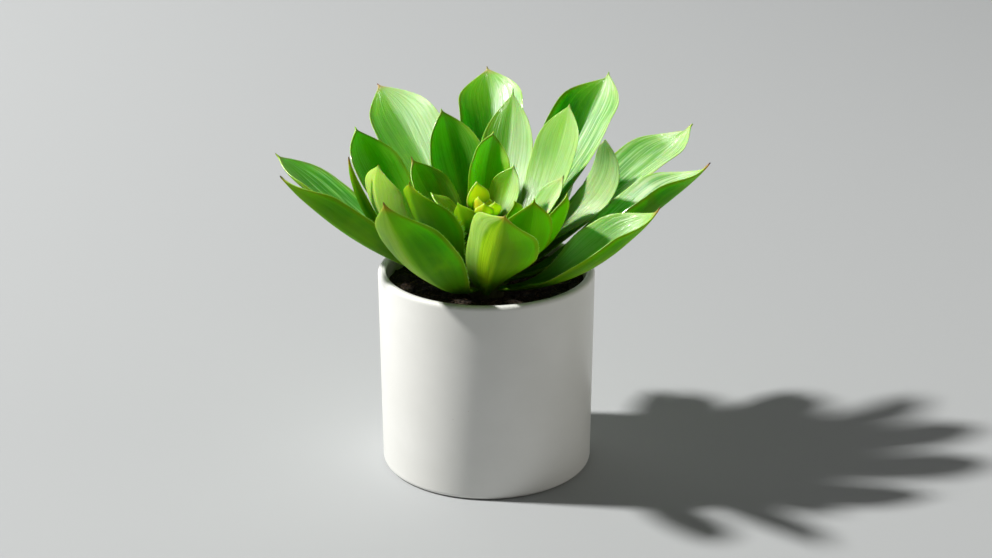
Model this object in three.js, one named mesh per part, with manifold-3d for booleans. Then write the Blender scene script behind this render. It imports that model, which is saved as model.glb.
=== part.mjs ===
// A potted aeonium: a rosette of fleshy pointed leaves on a short stem, in dark soil, in a white
// glazed pot. Millimetres, +Z up. The origin is the middle of the pot's foot, on the surface that
// the pot stands on. -Y is the front of the plant.
//
// Every large leaf is a solid of its own. Its foot stands in a socket in the stem with a small gap,
// and the small leaves of the heart are one body on the stem's top.
import * as THREE from "three";
import { mergeVertices } from "three/addons/utils/BufferGeometryUtils.js";
import Module from "manifold-3d";

const wasm = await Module();
wasm.setup();

// Pot: a nearly straight cylinder, a little wider at the rim than at the foot.
const POT_HEIGHT = 114;
const RIM_RADIUS = 60;
const BASE_RADIUS = 58.9;
const WALL = 5;
const FLOOR = 6;
const BASE_EDGE = 3;
const INNER_EDGE = 4;
const POT_SIDES = 60;

// Gap between pieces that touch on the real plant.
const GAP = 0.3;

// Soil: it fills the pot to a little under the rim, with a crumbly top.
const SOIL_BELOW_RIM = 9.5;
const SOIL_TOP = POT_HEIGHT - SOIL_BELOW_RIM;
const SOIL_LUMP = 0.6;
const SOIL_SIDES = 40;
const SOIL_RINGS = 8;

// Stem: it stands in the soil, in front of the pot's middle, and tapers to the heart.
const STEM_X = 0;
const STEM_Y = -15;
const STEM_BOTTOM = 84;
const STEM_BOTTOM_RADIUS = 8;
const STEM_FOOT = 105;
const STEM_TOP = 146;
const STEM_RADIUS = 10.5;
const STEM_TOP_RADIUS = 5.5;
const STEM_SIDES = 24;

// Heart: a low cone on the stem's top with the youngest leaves.
const HEART_RADIUS = 4.6;
const HEART_HEIGHT = 8;

// Leaves: how deep a foot stands in the stem, and the shape that all leaves share.
const FOOT_DEPTH = 2;
const FOOT_HALF_WIDTH = 2.7;
const FOOT_THICKNESS = 2.6;
const TIP_THICKNESS = 1.2;
const EDGE_THICKNESS = 0.7;
const TIP_HALF_WIDTH = 0.35;

// One row for each large leaf. turn is the direction in which the foot leaves the stem, in degrees
// anticlockwise from +X, and height is the foot's height. tip is where the leaf ends. bow is how far
// the midrib hangs below the straight line from foot to tip, and swing how far it bends
// anticlockwise. widest is the part of the length where the blade is widest. roll turns the blade
// about its midrib, cup is the slope of the blade at its margins, fold the slope beside the midrib,
// hook lifts the last part of the tip, and lean moves the bend towards the tip.
const COLUMNS = [
  "name", "turn", "height", "tip", "bow", "swing", "width", "widest", "roll", "cup", "fold", "hook", "lean",
];
const LEAF_ROWS = [
  ["back_low_left", 111, 107, [-35, 98, 146], 7, 0, 36, 0.62, 0, 36, 12, 0, 0],
  ["left_upper", 164, 107.2, [-117, 25, 172], 9.9, -2.5, 34, 0.72, -2, 36, 12, 0, 0],
  ["right_upper", 25, 107.5, [118, 52, 178], 1.4, 2.4, 38, 0.73, 5, 34, 18, 2, 0],
  ["back_low_right", 67, 108.4, [47, 96, 146], 7.3, 0.9, 36, 0.62, 0, 36, 12, 0, 0],
  ["front_right", -39, 108.6, [92, -37, 162], 12.4, -3.5, 43, 0.60, 17, 50, 38, 0, 0],
  ["front_left", 227, 108.7, [-51, -88, 182], 16.1, 2.8, 46, 0.56, 12, 36, 22, 0, 0],
  ["back_left", 129, 110.3, [-64, 97, 192], 3.9, -5.8, 45, 0.68, -16, 40, 12, 0, 0],
  ["right_middle", 10, 110.9, [122, 5, 173], 10.3, -4.3, 45, 0.68, -6, 50, 38, 0, 0],
  ["left_lower", 186, 111, [-110, -18, 173], 11.7, -0.3, 39, 0.58, 24, 44, 34, 0, 0],
  ["back_centre", 90, 111.2, [0, 98, 202], 7.9, -4.6, 46, 0.74, -3, 46, 30, 0, 0],
  ["back_right", 47, 112, [71, 94, 200], 8.2, 0.6, 45, 0.70, 13, 46, 32, 0, 0],
  ["left_middle", 150, 113.8, [-73, 33, 185], 11.2, 2.8, 38, 0.71, -5, 24, 10, 0, 0],
  ["front_centre", 270, 107.3, [10, -93, 177], 6.1, -2.5, 46, 0.57, -31, 38, 30, 0, 0],
  ["left_edge", 188, 115.2, [-73, -19, 184], 19.2, -3.2, 11, 0.63, 41, 36, 12, 0, 0],
  ["back_centre_inner", 71, 115.4, [15, 65, 198], 10.6, -0.3, 33, 0.60, -7, 26, 10, 0, 0],
  ["right_curved", 4, 116.4, [62.4, -25, 195.3], 17.5, 29.1, 23, 0.63, 49, 12, 4, 0, 17],
  ["back_left_inner", 125, 117.3, [-25, 31, 196], 10.1, -4.9, 38, 0.61, -10, 44, 20, 0, 0],
  ["back_right_inner", 41, 118.2, [46, 33, 198], 12.1, 0.6, 33, 0.72, -4, 20, 6, 0, 0],
  ["left_small", 207, 119, [-57, -21, 180], 16.3, 2, 31, 0.72, 41, 30, 10, 0, 18],
  ["front_right_inner", -50, 119.2, [25, -58, 174], 13.4, -1.1, 31, 0.65, -16, 36, 12, 0, 0],
  ["front_left_inner", 205, 122.3, [-40, -40, 177], 9.4, -1.2, 44, 0.55, 8, 36, 12, 0, 0],
  ["right_inner", -25, 123.6, [43, -29, 167], 11.9, -1.3, 20, 0.69, -21, 36, 12, 0, 0],
  ["left_inner", 162, 125.4, [-41, 7, 176], 5.7, -1.3, 30, 0.58, -12, 36, 12, 0, 0],
  ["right_small", 20, 127, [42, -2, 168], 6.3, 2, 18, 0.68, 15, 36, 12, 0, 0],
  ["centre_back", 90, 130.5, [4, 14, 188], 5.4, 4.5, 30, 0.61, 25, 50, 28, 0, 0],
  ["left_tiny", 182, 132, [-30, -13, 162], -0.5, 2.2, 15, 0.64, -13, 36, 12, 0, 0],
  ["front_right_tiny", -35, 135, [15, -27, 162], 5.3, 3.8, 13, 0.66, -10, 36, 12, 0, 0],
  ["front_left_tiny", 200, 138, [-15, -26, 161], 5.4, 4.2, 17, 0.65, 14, 36, 12, 0, 0],
  ["right_young", 25, 140, [15, -2, 174], 4.9, 2.5, 21, 0.56, 10, 36, 12, 0, 0],
];

// The youngest leaves, all in one body with the heart's cone.
const HEART_ROWS = [
  ["heart_left", 150, 148, [-5, -9, 168], 2, 0, 11, 0.55, 0, 50, 12, 0, 0],
  ["heart_back", 60, 149, [4, -8, 166], 1.5, 0, 8, 0.55, 0, 50, 12, 0, 0],
  ["heart_right", -20, 148.5, [6, -19, 162], 2, 0, 9, 0.55, 0, 50, 12, 0, 0],
  ["heart_front", 265, 148, [0, -23, 160], 2, 0, 9, 0.55, 0, 50, 12, 0, 0],
  ["heart_middle", 200, 150, [0, -16, 161], 1, 0, 5, 0.5, 0, 50, 12, 0, 0],
];

// The parts of a leaf's length at which its section is set out, and the strips across it.
const STATIONS = [0, 0.1, 0.21, 0.33, 0.46, 0.59, 0.71, 0.82, 0.91, 0.97, 1];
const SMALL_LEAF = 22;
const SMALL_STATIONS = [0, 0.1, 0.21, 0.4, 0.6, 0.78, 0.92, 1];
const HEART_STATIONS = [0, 0.3, 0.6, 0.85, 1];
const STRIPS = 6;
const HEART_STRIPS = 4;

const degrees = THREE.MathUtils.degToRad;
const smooth = THREE.MathUtils.smoothstep;
const lerp = THREE.MathUtils.lerp;
const Z_AXIS = new THREE.Vector3(0, 0, 1);

const glaze = new THREE.MeshStandardMaterial({ name: "glaze", color: 0xf1f1ee, roughness: 0.3 });
const earth = new THREE.MeshStandardMaterial({ name: "earth", color: 0x2a211a, roughness: 0.95 });
const flesh = new THREE.MeshStandardMaterial({ name: "flesh", color: 0x4f9a2a, roughness: 0.4 });
const young = new THREE.MeshStandardMaterial({ name: "young", color: 0xa9cc3a, roughness: 0.4 });
const bark = new THREE.MeshStandardMaterial({ name: "bark", color: 0x6d7a3c, roughness: 0.6 });

// A closed geometry as a solid that can be cut or joined.
function solid(geometry) {
  const bare = new THREE.BufferGeometry().setAttribute("position", geometry.getAttribute("position"));
  if (geometry.index) bare.setIndex(geometry.index);
  const merged = mergeVertices(bare, 1e-4);
  const vertProperties = merged.getAttribute("position").array;
  const triVerts = new Uint32Array(merged.index.array);
  return new wasm.Manifold(new wasm.Mesh({ numProp: 3, vertProperties, triVerts }));
}

// A solid back as a geometry.
function geometryOf(made) {
  const mesh = made.getMesh();
  const positions = new THREE.BufferAttribute(new Float32Array(mesh.vertProperties), 3);
  return new THREE.BufferGeometry()
    .setAttribute("position", positions)
    .setIndex(new THREE.BufferAttribute(new Uint32Array(mesh.triVerts), 1));
}

// The largest separate body of a solid.
function largest(made) {
  return made.decompose().reduce((best, body) => (body.volume() > best.volume() ? body : best));
}

// A round body about a vertical axis at x, y. The profile starts and ends on the axis.
function turned(points, sides, x, y) {
  const profile = points.map(([r, z]) => new THREE.Vector2(r, z));
  return new THREE.LatheGeometry(profile, sides).rotateX(Math.PI / 2).translate(x, y, 0);
}

// Radius of the stem at a height.
function stemRadius(z) {
  const share = THREE.MathUtils.clamp((z - STEM_FOOT) / (STEM_TOP - STEM_FOOT), 0, 1);
  return lerp(STEM_RADIUS, STEM_TOP_RADIUS, share);
}

// Half the blade's width at t, from the foot at 0 to the tip at 1.
function halfWidth(t, { width, widest }) {
  const most = width / 2;
  if (t < widest) {
    const grown = Math.sin((Math.PI / 2) * (t / widest)) ** 1.7;
    return lerp(Math.min(FOOT_HALF_WIDTH, 0.36 * most), most, grown);
  }
  const towardsTip = (t - widest) / (1 - widest);
  return lerp(TIP_HALF_WIDTH, most, Math.cos((Math.PI / 2) * towardsTip ** 1.5));
}

// The midrib's curve: from a foot inside the stem's side, along a bow, to the tip.
function midrib({ turn, height, tip, bow, swing, lean }) {
  const reach = stemRadius(height) - FOOT_DEPTH;
  const x = STEM_X + reach * Math.cos(degrees(turn));
  const y = STEM_Y + reach * Math.sin(degrees(turn));
  const foot = new THREE.Vector3(x, y, height);
  const end = new THREE.Vector3(...tip);
  const chord = end.clone().sub(foot).normalize();
  const side = new THREE.Vector3().crossVectors(Z_AXIS, chord).normalize();
  const under = new THREE.Vector3().crossVectors(side, chord).normalize();
  const middle = foot.clone().add(end).multiplyScalar(0.5);
  middle.addScaledVector(under, 2 * bow).addScaledVector(side, 2 * swing).addScaledVector(chord, lean);
  return { curve: new THREE.QuadraticBezierCurve3(foot, middle, end), side };
}

// Where a blade that slopes by fold at its midrib and by cup at its margin has got to at s.
function bend(s, fold, cup) {
  const rate = Math.abs(cup - fold) < 1e-3 ? 1e-3 : cup - fold;
  const slope = fold + rate * s;
  const across = (Math.sin(slope) - Math.sin(fold)) / rate;
  const up = (Math.cos(fold) - Math.cos(slope)) / rate;
  return { across, up, slope };
}

// The leaf's section at t: points across its upper face, and the same across its lower face.
// grow thickens and widens the section by that much all round.
function section(leaf, rib, t, strips, grow) {
  const within = THREE.MathUtils.clamp(t, 0, 1);
  const centre = rib.curve.getPoint(within);
  const along = rib.curve.getTangent(within);
  centre.addScaledVector(along, (t - within) * rib.curve.getLength());
  const side = rib.side.clone().addScaledVector(along, -rib.side.dot(along)).normalize();
  side.applyAxisAngle(along, degrees(leaf.roll) * smooth(within, 0.05, 0.55));
  const face = new THREE.Vector3().crossVectors(along, side).normalize();
  centre.addScaledVector(face, 2 * leaf.hook * smooth(within, 0.86, 1));
  const half = halfWidth(within, leaf);
  const flat = 0.6 * smooth(within, 0.75, 1);
  const fold = degrees(leaf.fold) * (1 - flat);
  const cup = degrees(leaf.cup) * (1 - flat) * smooth(within, 0.05, 0.5);
  const thick = Math.min(lerp(FOOT_THICKNESS, TIP_THICKNESS, within), 0.25 * leaf.width);
  const upper = [];
  const lower = [];
  for (let i = 0; i <= strips; i++) {
    const s = -1 + (2 * i) / strips;
    const { across, up, slope } = bend(Math.abs(s), fold, cup);
    const sign = Math.sign(s);
    const point = centre.clone();
    point.addScaledVector(side, sign * (across * half + Math.abs(s) * grow));
    point.addScaledVector(face, up * half);
    const normal = face.clone().multiplyScalar(Math.cos(slope));
    normal.addScaledVector(side, -sign * Math.sin(slope));
    const depth = lerp(EDGE_THICKNESS, thick, Math.sqrt(Math.max(0, 1 - s * s))) / 2 + grow;
    upper.push(point.clone().addScaledVector(normal, depth));
    lower.push(point.clone().addScaledVector(normal, -depth));
  }
  return { upper, lower };
}

// A closed blade through its sections: both faces are split along the same diagonals.
function blade(sections) {
  const positions = [];
  const quad = (a, b, c, d) => [a, b, c, a, c, d].forEach((p) => positions.push(p.x, p.y, p.z));
  const end = sections[0].upper.length - 1;
  for (let i = 0; i < sections.length - 1; i++) {
    const { upper: u0, lower: l0 } = sections[i];
    const { upper: u1, lower: l1 } = sections[i + 1];
    for (let j = 0; j < end; j++) {
      quad(u0[j], u1[j], u1[j + 1], u0[j + 1]);
      quad(l0[j], l0[j + 1], l1[j + 1], l1[j]);
    }
    quad(l0[0], l1[0], u1[0], u0[0]);
    quad(u0[end], u1[end], l1[end], l0[end]);
  }
  const { upper: first, lower: firstUnder } = sections[0];
  const { upper: last, lower: lastUnder } = sections[sections.length - 1];
  for (let j = 0; j < end; j++) {
    quad(first[j], first[j + 1], firstUnder[j + 1], firstUnder[j]);
    quad(last[j + 1], last[j], lastUnder[j], lastUnder[j + 1]);
  }
  return new THREE.BufferGeometry().setAttribute("position", new THREE.Float32BufferAttribute(positions, 3));
}

function leafGeometry(leaf, stations, strips) {
  const rib = midrib(leaf);
  return blade(stations.map((t) => section(leaf, rib, t, strips, 0)));
}

// The room that a leaf's foot takes in the stem: the foot's part of the blade, a gap larger.
function socket(leaf) {
  const rib = midrib(leaf);
  const before = -GAP / rib.curve.getLength();
  return solid(blade([before, 0, STATIONS[1], STATIONS[2]].map((t) => section(leaf, rib, t, STRIPS, GAP))));
}

function potGeometry() {
  const outer = (z) => lerp(BASE_RADIUS, RIM_RADIUS, z / POT_HEIGHT);
  const inside = RIM_RADIUS - WALL;
  const lip = WALL / 2;
  const profile = new THREE.Path();
  profile.moveTo(0, 0);
  profile.lineTo(BASE_RADIUS - BASE_EDGE, 0);
  profile.quadraticCurveTo(BASE_RADIUS, 0, outer(BASE_EDGE), BASE_EDGE);
  profile.lineTo(outer(POT_HEIGHT - lip), POT_HEIGHT - lip);
  profile.absarc(RIM_RADIUS - lip, POT_HEIGHT - lip, lip, 0, Math.PI, false);
  profile.lineTo(inside, FLOOR + INNER_EDGE);
  profile.quadraticCurveTo(inside, FLOOR, inside - INNER_EDGE, FLOOR);
  profile.lineTo(0, FLOOR);
  return turned(profile.getPoints(3).map((p) => [p.x, p.y]), POT_SIDES, 0, 0);
}

// The stem, or the hole for it when grow is the gap.
function stemSolid(grow) {
  const points = [
    [0, STEM_BOTTOM - grow],
    [STEM_BOTTOM_RADIUS + grow, STEM_BOTTOM - grow],
    [STEM_RADIUS + grow, STEM_FOOT - 4],
    [STEM_RADIUS + grow, STEM_FOOT],
    [STEM_TOP_RADIUS + grow, STEM_TOP + grow],
    [0, STEM_TOP + grow],
  ];
  return solid(turned(points, STEM_SIDES, STEM_X, STEM_Y));
}

// Low lumps on the soil's top that die out at the pot's wall.
function soilHeight(x, y) {
  const lumps = Math.sin(0.31 * x + 1.3) * Math.cos(0.27 * y - 0.4) + 0.6 * Math.sin(0.13 * x - 0.55 * y);
  return SOIL_TOP + SOIL_LUMP * lumps;
}

function soilSolid() {
  const radius = RIM_RADIUS - WALL - GAP;
  const points = [
    [0, FLOOR + GAP],
    [radius - INNER_EDGE - 1, FLOOR + GAP],
    [radius, FLOOR + INNER_EDGE + 1],
  ];
  for (let ring = SOIL_RINGS; ring >= 0; ring--) points.push([(radius * ring) / SOIL_RINGS, SOIL_TOP]);
  const geometry = turned(points, SOIL_SIDES, 0, 0);
  const place = geometry.getAttribute("position");
  for (let i = 0; i < place.count; i++) {
    if (place.getZ(i) > SOIL_TOP - 1) place.setZ(i, soilHeight(place.getX(i), place.getY(i)));
  }
  return solid(geometry);
}

function heartSolid(leaves) {
  const base = STEM_TOP + GAP;
  const cone = [
    [0, base],
    [HEART_RADIUS, base],
    [HEART_RADIUS * 0.9, base + HEART_HEIGHT * 0.5],
    [HEART_RADIUS * 0.45, base + HEART_HEIGHT],
    [0, base + HEART_HEIGHT + 1],
  ];
  let made = solid(turned(cone, 12, STEM_X, STEM_Y));
  for (const leaf of leaves) made = made.add(solid(leafGeometry(leaf, HEART_STATIONS, HEART_STRIPS)));
  return made;
}

const group = new THREE.Group();

function add(name, geometry, material) {
  const mesh = new THREE.Mesh(geometry, material);
  mesh.name = name;
  group.add(mesh);
}

const rowToLeaf = (row) => Object.fromEntries(COLUMNS.map((column, i) => [column, row[i]]));
const leaves = LEAF_ROWS.map(rowToLeaf);
const stem = leaves.reduce((made, leaf) => made.subtract(socket(leaf)), stemSolid(0));

add("pot", potGeometry(), glaze);
add("soil", geometryOf(soilSolid().subtract(stemSolid(GAP))), earth);
add("stem", geometryOf(largest(stem)), bark);
for (const leaf of leaves) {
  const stations = leaf.width < SMALL_LEAF ? SMALL_STATIONS : STATIONS;
  add("leaf_" + leaf.name, leafGeometry(leaf, stations, STRIPS), flesh);
}
add("heart", geometryOf(heartSolid(HEART_ROWS.map(rowToLeaf))), young);

export default group;
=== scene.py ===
import math
import random

import bpy
import numpy as np
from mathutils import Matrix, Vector, noise


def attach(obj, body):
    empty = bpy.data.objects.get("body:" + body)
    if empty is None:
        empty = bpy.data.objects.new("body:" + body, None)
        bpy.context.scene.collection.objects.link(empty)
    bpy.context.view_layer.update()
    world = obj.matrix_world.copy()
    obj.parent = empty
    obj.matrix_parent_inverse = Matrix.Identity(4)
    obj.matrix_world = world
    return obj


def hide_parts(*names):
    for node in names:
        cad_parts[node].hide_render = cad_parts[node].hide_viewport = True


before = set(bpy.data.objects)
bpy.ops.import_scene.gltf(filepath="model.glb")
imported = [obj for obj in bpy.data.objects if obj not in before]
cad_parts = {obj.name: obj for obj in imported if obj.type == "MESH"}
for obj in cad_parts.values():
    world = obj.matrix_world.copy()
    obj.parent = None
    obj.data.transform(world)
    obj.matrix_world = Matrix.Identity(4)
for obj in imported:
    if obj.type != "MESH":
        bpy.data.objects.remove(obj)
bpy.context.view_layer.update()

SWEEP_SIZE = (9, 5, 1)
SWEEP_RISE = (0, 0.5, 3.0)
SWEEP_CURVE = 1.2
FLOOR_GREY = (0.42, 0.435, 0.445, 1)
LAMPS_AIM = Vector((0, 0, 0.12))
SKY_COLOUR = (0.95, 0.98, 1.0, 1)
SKY_LIGHT = 0.06
CAMERA_PLACE = (0.0053, -1.034, 0.506)
CAMERA_PITCH = 21.1
CAMERA_LENS = 72.58
CAMERA_SENSOR = 36


def deselect():
    bpy.ops.object.select_all(action="DESELECT")


deselect()
bpy.ops.mesh.primitive_plane_add(size=1, location=(0, 0, 0))
sweep = bpy.context.object
sweep.name = "studio_sweep"
bpy.ops.object.mode_set(mode="EDIT")
bpy.ops.transform.resize(value=SWEEP_SIZE)
bpy.ops.mesh.select_all(action="DESELECT")
bpy.ops.object.mode_set(mode="OBJECT")
for edge in sweep.data.edges:
    edge.select = all(sweep.data.vertices[i].co.y > 2 for i in edge.vertices)
bpy.ops.object.mode_set(mode="EDIT")
bpy.ops.mesh.select_mode(type="EDGE")
bpy.ops.mesh.extrude_region_move(TRANSFORM_OT_translate={"value": SWEEP_RISE})
bpy.ops.object.mode_set(mode="OBJECT")
curve = sweep.modifiers.new("curve", "BEVEL")
curve.width = SWEEP_CURVE
curve.segments = 24
curve.limit_method = "ANGLE"
bpy.ops.object.modifier_apply(modifier="curve")
bpy.ops.object.shade_smooth()
concrete = bpy.data.materials.new("pale_floor")
concrete.use_nodes = True
floor_shader = concrete.node_tree.nodes["Principled BSDF"]
floor_shader.inputs["Base Color"].default_value = FLOOR_GREY
floor_shader.inputs["Roughness"].default_value = 0.75
sweep.data.materials.append(concrete)


def add_lamp(name, bearing, rise, distance, size, power, colour):
    """A round lamp at this bearing and rise in degrees from the middle of the plant."""
    data = bpy.data.lights.new(name, "AREA")
    data.shape = "DISK"
    data.size = size
    data.energy = power
    data.color = colour
    made = bpy.data.objects.new(name, data)
    bpy.context.scene.collection.objects.link(made)
    bearing, rise = math.radians(bearing), math.radians(rise)
    flat = math.cos(rise)
    out = Vector((math.cos(bearing) * flat, math.sin(bearing) * flat, math.sin(rise)))
    made.location = out * distance + LAMPS_AIM
    made.rotation_euler = out.to_track_quat("Z", "Y").to_euler()
    return made


add_lamp("lamp", bearing=175, rise=46.5, distance=5.0, size=0.42, power=403, colour=(1.0, 0.985, 0.955))
fill = add_lamp("fill", bearing=-8, rise=9, distance=1.2, size=0.9, power=3.0, colour=(1.0, 0.96, 0.87))
fill.visible_glossy = False

world = bpy.data.worlds.new("sky")
bpy.context.scene.world = world
world.use_nodes = True
world.node_tree.nodes["Background"].inputs["Color"].default_value = SKY_COLOUR
world.node_tree.nodes["Background"].inputs["Strength"].default_value = SKY_LIGHT
world.cycles_visibility.glossy = False
bpy.context.scene.view_settings.view_transform = "Standard"

camera_data = bpy.data.cameras.new("camera")
camera_data.lens = CAMERA_LENS
camera_data.sensor_width = CAMERA_SENSOR
camera = bpy.data.objects.new("camera", camera_data)
bpy.context.scene.collection.objects.link(camera)
camera.location = CAMERA_PLACE
camera.rotation_euler = (math.radians(90 - CAMERA_PITCH), 0, 0)
bpy.context.scene.camera = camera

# ---------------------------------------------------------------------------------------------
# Pot: one slip-cast stoneware cylinder, very slightly wider at the rim, with a rounded lip and a
# small rounded foot. It has a warm white satin glaze all over but for the bare flat underside.
POT_HEIGHT = 0.114
RIM_RADIUS = 0.060
FOOT_RADIUS = 0.0589
POT_WALL = 0.005
POT_FLOOR = 0.006
POT_SIDES = 160
LIP_ROUND = 0.00243
FOOT_ROUND = 0.0026
INSIDE_ROUND = 0.0035
CLOSE = 1e-5


def select_edges(piece, wanted):
    """Selects the edges with both ends where they are wanted, and goes on in edit mode."""
    bpy.ops.object.mode_set(mode="EDIT")
    bpy.ops.mesh.select_mode(type="EDGE")
    bpy.ops.mesh.select_all(action="DESELECT")
    bpy.ops.object.mode_set(mode="OBJECT")
    places = piece.data.vertices
    for edge in piece.data.edges:
        edge.select = all(wanted(places[i].co) for i in edge.vertices)
    bpy.ops.object.mode_set(mode="EDIT")


def select_faces(piece, wanted):
    """Selects the faces that are wanted, and goes on in edit mode."""
    bpy.ops.object.mode_set(mode="EDIT")
    bpy.ops.mesh.select_mode(type="FACE")
    bpy.ops.mesh.select_all(action="DESELECT")
    bpy.ops.object.mode_set(mode="OBJECT")
    for face in piece.data.polygons:
        face.select = wanted(face)
    bpy.ops.object.mode_set(mode="EDIT")


class Finish:
    """The surface of one material. Each call adds a pattern or a sum, and gives back its value."""

    def __init__(self, name):
        self.made = bpy.data.materials.new(name)
        self.made.use_nodes = True
        self.nodes = self.made.node_tree.nodes
        self.links = self.made.node_tree.links
        self.place = self.nodes.new("ShaderNodeTexCoord").outputs["Object"]

    def feed(self, value, socket):
        """Puts a number, a colour or the value of another call into a socket."""
        if isinstance(value, bpy.types.NodeSocket):
            self.links.new(value, socket)
        elif socket.type == "RGBA":
            socket.default_value = (*value, 1)
        else:
            socket.default_value = value

    def wired(self, node, inputs, output):
        """Feeds the named inputs of a node, and gives back the named output."""
        for name, value in inputs.items():
            self.feed(value, node.inputs[name])
        return node.outputs[output]

    def surface(self, inputs):
        """Feeds the named inputs of the surface itself."""
        for name, value in inputs.items():
            self.feed(value, self.nodes["Principled BSDF"].inputs[name])

    def cloudy(self, scale, detail=2.0, roughness=0.5, place=None):
        """Soft clouds all through the piece, or drawn out where another place is given."""
        node = self.nodes.new("ShaderNodeTexNoise")
        inputs = {"Scale": scale, "Detail": detail, "Roughness": roughness}
        inputs["Vector"] = self.place if place is None else place
        return self.wired(node, inputs, "Fac")

    def pitted(self, scale):
        """How far each spot is from the nearest pit."""
        node = self.nodes.new("ShaderNodeTexVoronoi")
        return self.wired(node, {"Vector": self.place, "Scale": scale}, "Distance")

    def parts(self, vector):
        """The three numbers of a place."""
        node = self.nodes.new("ShaderNodeSeparateXYZ")
        self.links.new(vector, node.inputs["Vector"])
        return tuple(node.outputs)

    def shades(self, value, low, high, low_at=0.0, high_at=1.0):
        """Goes from one colour to another as the value goes from low_at to high_at."""
        node = self.nodes.new("ShaderNodeValToRGB")
        for stop, position, colour in zip(node.color_ramp.elements, (low_at, high_at), (low, high)):
            stop.position = position
            stop.color = (*colour, 1)
        return self.wired(node, {"Fac": value}, "Color")

    def fade(self, value, low, high, to_low=0.0, to_high=1.0, way="LINEAR"):
        """Goes from to_low to to_high as the value goes from low to high, and no further."""
        node = self.nodes.new("ShaderNodeMapRange")
        node.interpolation_type = way
        inputs = {"Value": value, "From Min": low, "From Max": high, "To Min": to_low, "To Max": to_high}
        return self.wired(node, inputs, "Result")

    def blend(self, share, a, b, kind="RGBA"):
        """Goes from a to b, which are colours, or numbers where the kind is FLOAT."""
        node = self.nodes.new("ShaderNodeMix")
        node.data_type = kind
        return self.wired(node, {"Factor": share, "A": a, "B": b}, "Result")

    def reckon(self, way, a, b=0.0):
        node = self.nodes.new("ShaderNodeMath")
        node.operation = way
        return self.wired(node, {0: a, 1: b}, "Value")

    def times(self, a, b):
        return self.reckon("MULTIPLY", a, b)

    def relief(self, height, strength, distance, over=None):
        """Fine unevenness of this height, on top of another relief where one is given."""
        node = self.nodes.new("ShaderNodeBump")
        inputs = {"Height": height, "Strength": strength, "Distance": distance}
        if over is not None:
            inputs["Normal"] = over
        return self.wired(node, inputs, "Normal")


deselect()
bpy.ops.mesh.primitive_cylinder_add(
    vertices=POT_SIDES, radius=FOOT_RADIUS, depth=POT_HEIGHT, location=(0, 0, POT_HEIGHT / 2)
)
pot = bpy.context.object
pot.name = "glazed_pot"
bpy.ops.object.transform_apply(location=True, rotation=True, scale=True)
select_faces(pot, lambda face: face.center.z > POT_HEIGHT - 0.001)
bpy.ops.transform.resize(value=(RIM_RADIUS / FOOT_RADIUS,) * 2 + (1,))
bpy.ops.mesh.inset(thickness=POT_WALL)
bpy.ops.mesh.extrude_region_move(TRANSFORM_OT_translate={"value": (0, 0, POT_FLOOR - POT_HEIGHT)})
select_edges(pot, lambda co: co.z > POT_HEIGHT - CLOSE)
bpy.ops.mesh.bevel(offset=LIP_ROUND, segments=7, affect="EDGES")
select_edges(pot, lambda co: co.z < CLOSE and co.xy.length > 0.05)
bpy.ops.mesh.bevel(offset=FOOT_ROUND, segments=6, affect="EDGES")
select_edges(pot, lambda co: abs(co.z - POT_FLOOR) < CLOSE)
bpy.ops.mesh.bevel(offset=INSIDE_ROUND, segments=5, affect="EDGES")
bpy.ops.object.mode_set(mode="OBJECT")
bpy.ops.object.shade_smooth_by_angle(angle=math.radians(40))

glaze = Finish("satin_glaze")
cloud = glaze.cloudy(26, 5)
white = glaze.shades(cloud, (0.80, 0.80, 0.765), (0.86, 0.86, 0.83), 0.3, 0.72)
pinholes = glaze.shades(glaze.pitted(240), (1, 1, 1), (0, 0, 0), 0.03, 0.07)
flecks = glaze.times(pinholes, glaze.reckon("GREATER_THAN", glaze.cloudy(70), 0.66))
glazed = glaze.blend(flecks, white, (0.52, 0.47, 0.38))
clay = glaze.shades(glaze.cloudy(900, 4), (0.50, 0.43, 0.33), (0.70, 0.63, 0.52))
underside = glaze.fade(glaze.parts(glaze.place)[2], 0.0002, 0.0006, 1.0, 0.0)
glaze.surface({
    "Base Color": glaze.blend(underside, glazed, clay),
    "Roughness": glaze.blend(underside, glaze.fade(cloud, 0.0, 1.0, 0.34, 0.46), 0.95, "FLOAT"),
    "IOR": 1.5,
    "Coat Weight": 0.25,
    "Coat Roughness": 0.22,
    "Normal": glaze.relief(glaze.cloudy(420, 3), 0.10, 0.0004),
})
pot.data.materials.append(glaze.made)
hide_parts("pot")
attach(pot, "root")

# ---------------------------------------------------------------------------------------------
# Soil: moist black potting compost, filled to a finger's width under the rim. Its top is crumbly,
# with fine roots and bits of fibre and bark lying on it.
SOIL_RADIUS = 0.0547
SOIL_BOTTOM = 0.0063
SOIL_TOP = 0.1045
SOIL_SIDES = 150
SOIL_RINGS = 46
SOIL_ROUND = 0.0045
STEM_PLACE = Vector((0, -0.015, 0))
STEM_CLEARING = 0.0125
FIBRES = 1500
FIBRE_BENDS = 4
FIBRES_WITHIN = 0.0525
FIBRE_ENDS_WITHIN = 0.0535
CRUMBS = 1300
CRUMB_CORNERS = 5
CRUMB_LEVELS = [(-0.8, 0.4), (-0.1, 1), (0.6, 0.7)]
CRUMBS_WITHIN = 0.0522


def soil_height(x, y):
    mx, my = x * 1000, y * 1000
    lumps = math.sin(0.31 * mx + 1.3) * math.cos(0.27 * my - 0.4) + 0.6 * math.sin(0.13 * mx - 0.55 * my)
    place = Vector((x, y, 0))
    crumb = 0.00075 * noise.noise(place * 260) + 0.0005 * noise.noise(place * 620)
    return SOIL_TOP + 0.0006 * lumps + crumb


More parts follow.
